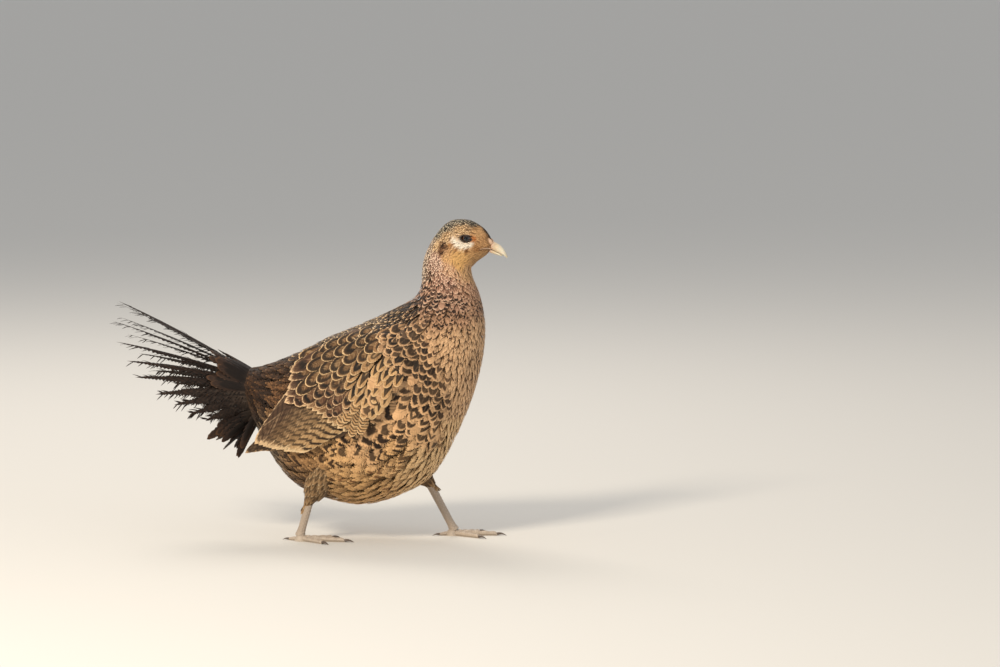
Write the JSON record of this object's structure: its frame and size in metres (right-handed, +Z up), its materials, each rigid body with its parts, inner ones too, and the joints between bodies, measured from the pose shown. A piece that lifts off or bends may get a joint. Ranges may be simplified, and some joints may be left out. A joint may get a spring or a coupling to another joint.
{
  "type": "common pheasant hen",
  "caption": "Life-size still model of a brown hen pheasant in mid-stride, wings folded, neck raised and tail cocked.",
  "frame": {"origin": "middle of the floor under the whole bird, at the level of its soles", "axes": "+X from tail to bill, +Y to the bird's left, +Z up"},
  "size_m": [0.3674, 0.125, 0.2935],
  "materials": {
    "plumage": "matt, close small feathers over flesh",
    "face": "matt, very short feathers",
    "wing_plumage": "matt vanes in overlapping tiers",
    "tail_plumage": "matt narrow vanes",
    "horn": "smooth pale horn",
    "eye": "wet and dark",
    "scale": "dry scaled skin",
    "claw": "dark horn"
  },
  "bodies": {
    "root": {"torso": "plumage", "neck": "plumage", "head": "face", "bill_upper": "horn", "bill_lower": "horn", "tail": "tail_plumage", "eye_left": "eye", "eye_right": "eye", "wing_left": "wing_plumage", "wing_right": "wing_plumage", "thigh_left": "plumage", "thigh_right": "plumage", "shank_left": "scale", "shank_right": "scale", "foot_left": "scale", "foot_right": "scale", "claw_left_middle": "claw", "claw_left_inner": "claw", "claw_left_outer": "claw", "claw_left_hind": "claw", "claw_right_middle": "claw", "claw_right_inner": "claw", "claw_right_outer": "claw", "claw_right_hind": "claw"}
  },
  "joints": []
}
